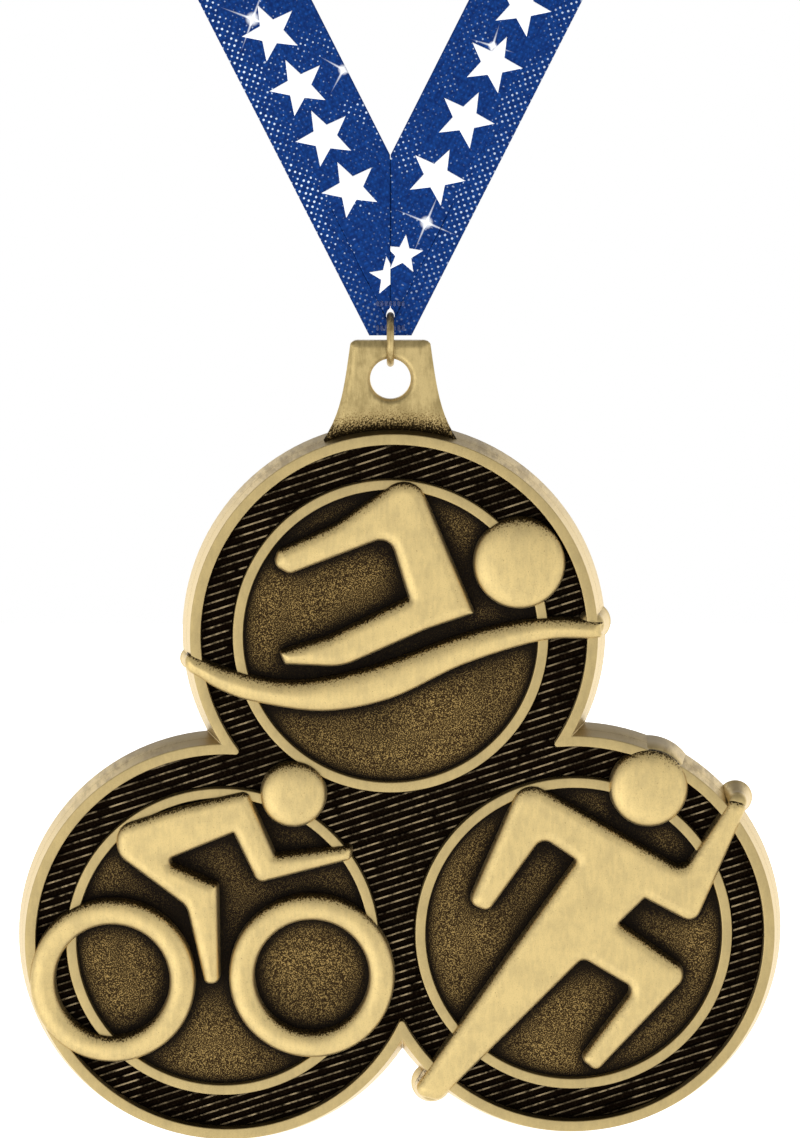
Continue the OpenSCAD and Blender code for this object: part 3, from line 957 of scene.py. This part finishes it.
def build_figure(node, gold, reach):
    """A figure's body: soft shoulders that reach in from its outline, with a flat top."""
    loop = outlines(node, 0.16 * MM)[0]
    top = height_span(node)[1]
    edge = top - 0.75 * MM
    body = raised(node.replace("_body", "_figure") + "_relief", [loop], FIELD_H, dome(edge, top, reach))
    return finish(body, gold, "antique_gold", "medal", node)


def build_head(node, gold):
    centre, radius = disc_of(node)
    top = height_span(node)[1]
    shoulder = top - 1.1 * MM
    profile = [(0, FIELD_H), (radius + 0.08 * MM, FIELD_H), (radius, shoulder)]
    profile += dome_profile(radius, shoulder, top, 0.55, 0.9)
    return finish(lathe(node + "_dome", centre, profile), gold, "antique_gold", "medal", node)


def build_wheel(node, gold):
    centre, radius = disc_of(node)
    top = height_span(node)[1]
    middle, foot = radius - TYRE_W / 2, top - 1.1 * MM
    profile = [(radius - TYRE_W, FIELD_H)]
    profile += [
        (middle - TYRE_W / 2 * math.cos(a), foot + (top - foot) * math.sin(a) ** 0.62)
        for a in np.linspace(0, math.pi, 24)
    ]
    profile += [(radius, FIELD_H)]
    return finish(closed_lathe(node + "_tyre", centre, profile), gold, "antique_gold", "medal", node)


# ---- the jump ring


def build_jump_ring(wire):
    low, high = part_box("jump_ring")
    centre = (low + high) / 2
    wire_r = (high.x - low.x) / 2
    radius = (high.z - low.z) / 2 - wire_r
    gap = 1.6
    skew = 0.02 * MM
    path = []
    for a in np.linspace(gap, 360 - gap, 96):
        y, z = unit(math.radians(a))
        path.append(centre + Vector((skew * (a / 180 - 1), y, z)) * radius)
    ring = tube("jump_ring_wire", path, wire_r)
    return finish(sharpen(ring, 60), wire, "ring_wire", "jump_ring", "jump_ring")


# ---- the ribbon

RIBBON_W = 9.5 * MM
RIBBON_T = 0.4 * MM
RIBBON_L = 762 * MM
FIRST_LAYER = 0.45 * MM
SLOPE = math.radians(27)
POINT_GAP = 0.45 * MM
POINT_HALF = 2 * MM
WIRE_R = 0.35 * MM
SLOT_HALF_W, SLOT_HALF_H, SEAM_HALF_W = 0.4 * MM, 0.66 * MM, 0.03 * MM
HANK_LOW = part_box("folded_hank")[0].z
OUTER_MEET = TAB_TOP + POINT_GAP - POINT_HALF / math.tan(SLOPE)
ACROSS = 80
CREASE_SWELL, LAYER_SWELL = 0.187 * MM, 0.05 * MM
ACROSS_AT = np.linspace(0, RIBBON_W, ACROSS + 1)
# Painted glints, painted highlights on the ribbon's front: (x, z, half length of a ray, turn)
GLINTS = [
    (3.4 * MM, TAB_TOP + 11.1 * MM, 3.2 * MM, 0.4),
    (-12.9 * MM, TAB_TOP + 30.1 * MM, 3.4 * MM, 0.35),
    (-4.4 * MM, TAB_TOP + 25.4 * MM, 2.6 * MM, 0.5),
    (9.6 * MM, TAB_TOP + 27.6 * MM, 2.2 * MM, 0.3),
]


def seam_start(v):
    """Where the line at a distance v from the left strand's outer edge starts, as (x, z)."""
    z = OUTER_MEET + v / math.sin(SLOPE)
    if z < TAB_TOP + POINT_GAP:
        z_low = TAB_TOP + POINT_GAP
        return np.array([-(z_low - z) * math.tan(SLOPE), z_low])
    slot_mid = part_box("jump_ring")[1].z - WIRE_R
    inside_slot = 1 - ((z - slot_mid) / SLOT_HALF_H) ** 2
    open_w = SLOT_HALF_W * math.sqrt(inside_slot) if inside_slot > 0 else 0.0
    return np.array([-max(open_w, SEAM_HALF_W), z])


def crease_point(v):
    """Where that line meets the fold that turns it level: on the strand's outer edge the fold is lowest."""
    z = HANK_LOW + v
    return np.array([-(z - OUTER_MEET) * math.tan(SLOPE) + v / math.cos(SLOPE), z])


def strand_place(x, z):
    """Distance up the left strand, and across it from its outer edge, of a point on it."""
    up = z - OUTER_MEET
    return up * math.cos(SLOPE) - x * math.sin(SLOPE), up * math.sin(SLOPE) + x * math.cos(SLOPE)


def ripple(x, z):
    """How far the left strand's cloth stands behind its plane: nothing at the seam and at the hank."""
    s, v = strand_place(x, z)
    swell = np.sin(math.pi * np.clip((s - 9 * MM) / (29 * MM), 0, 1)) ** 2
    return 0.14 * MM * swell * np.sin(s / (3.4 * MM) + 1.2 * v / RIBBON_W)


def strand_rows(rows=64):
    """Rows of points, from the seam up to the crease, for the left strand."""
    starts = np.array([seam_start(v) for v in ACROSS_AT])
    ends = np.array([crease_point(v) for v in ACROSS_AT])
    made = []
    for t in np.linspace(0, 1, rows):
        xz = starts + (ends - starts) * t
        made.append(np.stack([xz[:, 0], ripple(xz[:, 0], xz[:, 1]), xz[:, 1]], 1))
    return made


def level_row(x, y, z):
    """A row of points across the cloth at one depth."""
    return np.stack([np.broadcast_to(x, z.shape), np.full(len(z), y), z], 1)


def half_turn(radius, steps):
    """(outward, round) distances of the points of a half circle after its first."""
    return [(radius * math.sin(a), radius * (1 - math.cos(a))) for a in np.linspace(0, math.pi, steps)[1:]]


def layer_rows(run, layers, pitch):
    """Rows of the folded layers that follow the left strand's crease, toward the viewer."""
    x, z = np.array([crease_point(v) for v in ACROSS_AT]).T
    crease = np.linspace(0, math.pi, 7)[1:]
    made = [level_row(x - CREASE_SWELL * math.sin(a), FIRST_LAYER * (math.cos(a) - 1) / 2, z) for a in crease]
    y, direction = -FIRST_LAYER, 1
    for layer in range(layers):
        end = run[1] if direction > 0 else run[0]
        for t in np.linspace(0, 1, 14)[1:]:
            made.append(level_row(x + (end - x) * t, y - LAYER_SWELL * math.sin(math.pi * t), z))
        if layer < layers - 1:
            made += [level_row(end + direction * out, y - fold, z) for out, fold in half_turn(pitch / 2, 9)]
            y -= pitch
        x, direction = end, -direction
    return made, y


def ribbon_rows(inset):
    """Rows of the whole ribbon, whose folds stop short of the hank's ends by an inset."""
    layers = 7
    low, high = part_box("folded_hank")
    depth = (high.y - low.y) / 2 - RIBBON_T / 2
    pitch_front = (depth - FIRST_LAYER) / (layers - 1)
    pitch_back = (depth - FIRST_LAYER) / layers
    run = (low.x + 0.5 * MM + inset, high.x - depth - 0.3 * MM - inset)
    strand = strand_rows()
    front, front_y = layer_rows(run, layers, pitch_front)
    back, back_y = layer_rows((-run[1], -run[0]), layers, pitch_back)
    right_part = [row * (-1, -1, 1) for row in strand + back]
    left_x, end_x = run
    z = front[-1][:, 2]
    radius, fold = (depth - front_y) / 2, (depth + back_y) / 2
    around = [level_row(end_x + out, front_y + turn, z) for out, turn in half_turn(radius, 25)]
    around += [level_row(end_x + (left_x - end_x) * t, depth, z) for t in np.linspace(0, 1, 16)[1:]]
    around += [level_row(left_x - out, depth - turn, z) for out, turn in half_turn(fold, 9)[:-1]]
    return strand + front + around + right_part[::-1], len(strand)


def middle_lengths(rows):
    """Distance of each row along the middle of the cloth."""
    middle = np.array([row[ACROSS // 2] for row in rows])
    return np.concatenate([[0], np.cumsum(np.linalg.norm(np.diff(middle, axis=0), axis=1))])


def build_ribbon(cloth):
    """One ribbon: up the left strand, through the folded hank and down the right strand."""
    at_none, at_one = (middle_lengths(ribbon_rows(inset)[0])[-1] for inset in (0.0, 1.0 * MM))
    inset = (at_none - RIBBON_L) / (at_none - at_one) * MM
    rows, strand_count = ribbon_rows(inset)
    ribbon = new_object("ribbon_cloth", np.concatenate(rows), grid_faces(len(rows), ACROSS + 1))
    write_cloth_coordinates(ribbon, rows, strand_count)
    solid = ribbon.modifiers.new("thickness", "SOLIDIFY")
    solid.thickness, solid.offset = RIBBON_T, 0
    finish(ribbon, cloth, "ribbon_blue", "neck_ribbon", "left_strand", "right_strand", "folded_hank")
    return ribbon


def write_cloth_coordinates(obj, rows, strand_count):
    """Stores each point's place in the flat cloth: along it and across it."""
    along = middle_lengths(rows)
    co = np.zeros((len(rows), ACROSS + 1, 3), np.float32)
    crease = rows[strand_count - 1][ACROSS // 2]
    start = along[strand_count - 1] - strand_place(crease[0], crease[2])[0]
    for i, row in enumerate(rows):
        right = i >= len(rows) - strand_count
        if i < strand_count or right:
            s, _ = strand_place(-np.abs(row[:, 0]), row[:, 2])
            co[i, :, 0] = along[-1] - start - s if right else start + s
        else:
            co[i, :, 0] = along[i]
        co[i, :, 1] = ACROSS_AT
    store_cloth(obj, co)


def store_cloth(obj, places):
    layer = obj.data.attributes.new("cloth", "FLOAT_VECTOR", "POINT")
    layer.data.foreach_set("vector", places.reshape(-1))


def build_backing(cloth):
    """The ribbon's cut ends, turned back behind the seam."""
    loops = outlines("seam_backing", 0.3 * MM)[:1]
    low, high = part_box("seam_backing")
    top = dome(high.y - 0.12 * MM, high.y, 0.3 * MM)
    points, faces, heights = cushion_top(loops, top, grid=0.3 * MM, soften=2)
    verts = [(p[0], h, p[1]) for p, h in zip(points, heights)]
    n, first = len(loops[0]), len(verts)
    verts += [(p[0], low.y + 0.02 * MM, p[1]) for p in loops[0]]
    faces = faces + wall_faces(0, first, n) + [tuple(range(first, first + n))]
    backing = new_object("seam_turnback", verts, faces)
    co = np.array(verts, np.float32)[:, [2, 0, 1]]
    co[:, 1] += RIBBON_W / 2
    store_cloth(backing, co)
    return finish(backing, cloth, "ribbon_blue", "neck_ribbon", "seam_backing")


def stitch_capsule(centre, half, radius, front):
    """A short thread that dips into the cloth at both ends."""
    x, y, z = centre
    rows = []
    for t in np.linspace(-1, 1, 9):
        r = radius * max(0.15, math.sqrt(max(0.0, 1 - abs(t) ** 6)))
        lift = radius * 0.5 * (1 - t * t) * front
        turns = np.linspace(0, 2 * math.pi, 8, endpoint=False)
        rows.append([(x + r * math.cos(a), y + lift + 0.7 * r * math.sin(a), z + half * t) for a in turns])
    return skin("stitch", rows)


def solids_of(node):
    """Boxes (low, high) of the separate solids of a CAD node."""
    bm = welded(node)
    seen, boxes = set(), []
    for v in bm.verts:
        if v in seen:
            continue
        group, queue = [], [v]
        seen.add(v)
        while queue:
            at = queue.pop()
            group.append(at.co.copy())
            for e in at.link_edges:
                other = e.other_vert(at)
                if other not in seen:
                    seen.add(other)
                    queue.append(other)
        co = np.array(group)
        boxes.append((co.min(0), co.max(0)))
    bm.free()
    return boxes


def build_stitches(node, name, material, front):
    made = []
    for low, high in solids_of(node):
        centre = (low + high) / 2
        centre[1] = high[1] if front < 0 else low[1]
        made.append(stitch_capsule(centre, (high[2] - low[2]) / 2, (high[0] - low[0]) / 2, front))
    stitches = join(name, made)
    return finish(stitches, material, "thread_navy", "neck_ribbon", node)


def build_stars(film):
    """White stars with a softly rounded edge, on the front of the strands."""
    made = []
    low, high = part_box("star_prints")
    for loop in outlines("star_prints", 0.25 * MM):
        top = -low.y
        star = raised("star", [loop], -high.y - 0.1 * MM, dome(top - 0.03 * MM, top, 0.12 * MM), 0.0, 1)
        side = -1 if loop[:, 0].mean() < 0 else 1
        for v in star.data.vertices:
            v.co.y -= side * float(ripple(-abs(v.co.x), v.co.z))
        made.append(star)
    stars = join("star_film", made)
    return finish(stars, film, "white_print", "neck_ribbon", "star_prints")


def build_band(elastic):
    """An elastic band round the hank, with rounded corners."""
    low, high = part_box("hank_band")
    hank_low, hank_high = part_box("folded_hank")
    thick = high.z - hank_high.z
    centre_z = (low.z + high.z) / 2
    half_y, half_z = (high.y - low.y) / 2, (high.z - low.z) / 2
    corner = 0.8 * MM
    outline = []
    for sy, sz, start in ((1, 1, 0), (-1, 1, 90), (-1, -1, 180), (1, -1, 270)):
        for a in np.linspace(start, start + 90, 8):
            d = unit(math.radians(a))
            outline.append((sy * (half_y - corner) + corner * d[0], sz * (half_z - corner) + corner * d[1]))
    outline = evenly(np.array(outline), 0.6 * MM)
    normals = loop_normals(outline)
    width = (high.x - low.x) / 2
    verts, cols = [], 33
    for x in np.linspace(-width, width, cols):
        rib = 0.05 * MM * math.cos(x / MM * math.pi * 2)
        edge = 0.12 * MM * max(0.0, abs(x) / width - 0.9) * 10
        for p, n in zip(outline, normals):
            q = p - n * (edge + 0.05 * MM - rib)
            verts.append((x, q[0], centre_z + q[1]))
    n = len(outline)
    for x in np.linspace(width, -width, cols):
        for p, m in zip(outline, normals):
            q = p - m * (thick - 0.02 * MM)
            verts.append((x, q[0], centre_z + q[1]))
    faces = grid_faces(2 * cols, n, close_rows=True, close_cols=True)
    band = new_object("hank_band_loop", verts, faces)
    return finish(sharpen(band, 50), elastic, "elastic_black", "neck_ribbon", "hank_band")


# ---- stage


def build_camera():
    """Straight on and slightly above, with the ribbon running out of the top of the view."""
    camera = bpy.data.cameras.new("camera")
    camera.lens, camera.sensor_width = 120, 36
    camera.clip_start, camera.clip_end = 0.01, 20
    view_h = 108.6 * MM
    target = Vector((0.91 * MM, 0, TAB_TOP - 21.85 * MM))
    elevation = math.radians(7)
    distance = camera.lens * view_h / camera.sensor_width
    back = Vector((0, -math.cos(elevation), math.sin(elevation)))
    bpy.context.scene.camera = aimed("camera", camera, target + back * distance, target)


def aimed(name, data, at, target):
    """A camera or a light in the scene, turned toward a target."""
    obj = linked(name, data)
    obj.location = at
    obj.rotation_mode = "QUATERNION"
    obj.rotation_quaternion = (target - Vector(at)).to_track_quat("-Z", "Y")
    return obj


def soft_box(name, at, size, power, target):
    light = bpy.data.lights.new(name, "AREA")
    light.size, light.energy = size, power
    aimed(name, light, at, target)


# Strength of the studio's light by the height it comes from, -1 straight below to 1 straight above
SKY = [(-1, 1.1), (-0.2, 1.05), (0.0, 0.95), (0.25, 0.84), (0.6, 0.64), (1, 0.4)]


def build_world():
    """Soft light from all round, stronger behind the medal, that the camera sees as plain white."""
    g = Graph("studio", world=True)
    bpy.context.scene.world = g.owner
    g.put(g.shader.inputs["Color"], (1.0, 1.0, 1.0))
    _, y, z = g.parts(g.coords)
    tent = g.node("ShaderNodeValToRGB", {0: g.ramp(z, -1, 1, smooth=False)})
    stops = tent.color_ramp.elements
    while len(stops) < len(SKY):
        stops.new(0.5)
    for stop, (at, level) in zip(stops, SKY):
        stop.position, stop.color = (at + 1) / 2, (level, level, level, 1)
    camera_ray = g.node("ShaderNodeLightPath").outputs["Is Camera Ray"]
    lit = g.times(tent.outputs[0], g.ramp(y, 0.1, 0.8, 1.0, 1.55, smooth=False))
    seen = g.node("ShaderNodeMix", {0: camera_ray, 2: lit, 3: 1.0})
    g.put(g.shader.inputs["Strength"], seen.outputs[0])


def build_stage():
    bpy.context.scene.view_settings.view_transform = "Standard"
    floor_z, size = -0.9, 6.0
    corners = [(x * size, y * size, floor_z) for x, y in ((-1, -1), (1, -1), (1, 1), (-1, 1))]
    floor = new_object("floor", corners, [(0, 1, 2, 3)])
    floor.data.materials.append(pale_floor("floor_paper"))
    middle = Vector((0, 0, TAB_TOP - 30 * MM))
    soft_box("key_box", (-0.75, -1.15, -0.35), 1.2, 4.0, middle)
    soft_box("fill_box", (1.0, -1.1, 0.1), 0.9, 1.2, middle)
    build_world()


# ---- everything

build_camera()
build_stage()

# The faces take dark speckles on upward slopes as painted shade; faces, rim and tab walls take the wall
# tone's painted highlight and painted shade.
face_gold = antique_gold(
    "face_gold", FACE_TONES, (FIELD_H - 0.1 * MM, FIELD_H + 0.4 * MM), upslope_shade_and_patina=0.36, walls=True
)
trim_gold = antique_gold("trim_gold", TRIM_TONES, (FIELD_H - 0.2 * MM, FIELD_H + 0.5 * MM), grain=0.006)
rim_gold = antique_gold("rim_gold", TRIM_TONES, grain=0.006, walls=True)
# The tab darkens toward the rim's edge
tab_near = (RIMS[0][0], RIMS[0][1] + RIM_W + 0.5 * MM, 2.2 * MM)
tab_gold = antique_gold("tab_gold", TAB_TONES, near=tab_near, grain=0.012, walls=True)
wire_gold = antique_gold("wire_gold", (GOLD_DEEP, GOLD), grain=0.004)
floor_metal = stippled_floor("stippled_floor")

build_plate(plate_metal("plate_metal"))
build_rim(rim_gold)
build_bosses(rim_gold)
build_tab(tab_gold)
build_rings(trim_gold)
build_dishes(floor_metal)
dress("hatched_field", hatch_metal("hatch_metal"))
for figure, reach in (("swimmer_body", 1.1), ("cyclist_body", 0.95), ("runner_body", 1.1), ("wave", 1.5)):
    build_figure(figure, face_gold, reach * MM)
for head_node in ("swimmer_head", "cyclist_head", "runner_head"):
    build_head(head_node, face_gold)
for wheel_node in ("rear_wheel", "front_wheel"):
    build_wheel(wheel_node, face_gold)
build_jump_ring(wire_gold)

ribbon_cloth = woven_ribbon("woven_ribbon")
sewing_thread = thread("sewing_thread")
build_band(ribbed_elastic("ribbed_elastic"))
build_ribbon(ribbon_cloth)
build_backing(ribbon_cloth)
build_stitches("seam_stitches", "seam_thread", sewing_thread, 1)
build_stitches("bar_tacks", "bar_tack_thread", sewing_thread, -1)
build_stars(white_print("white_film"))
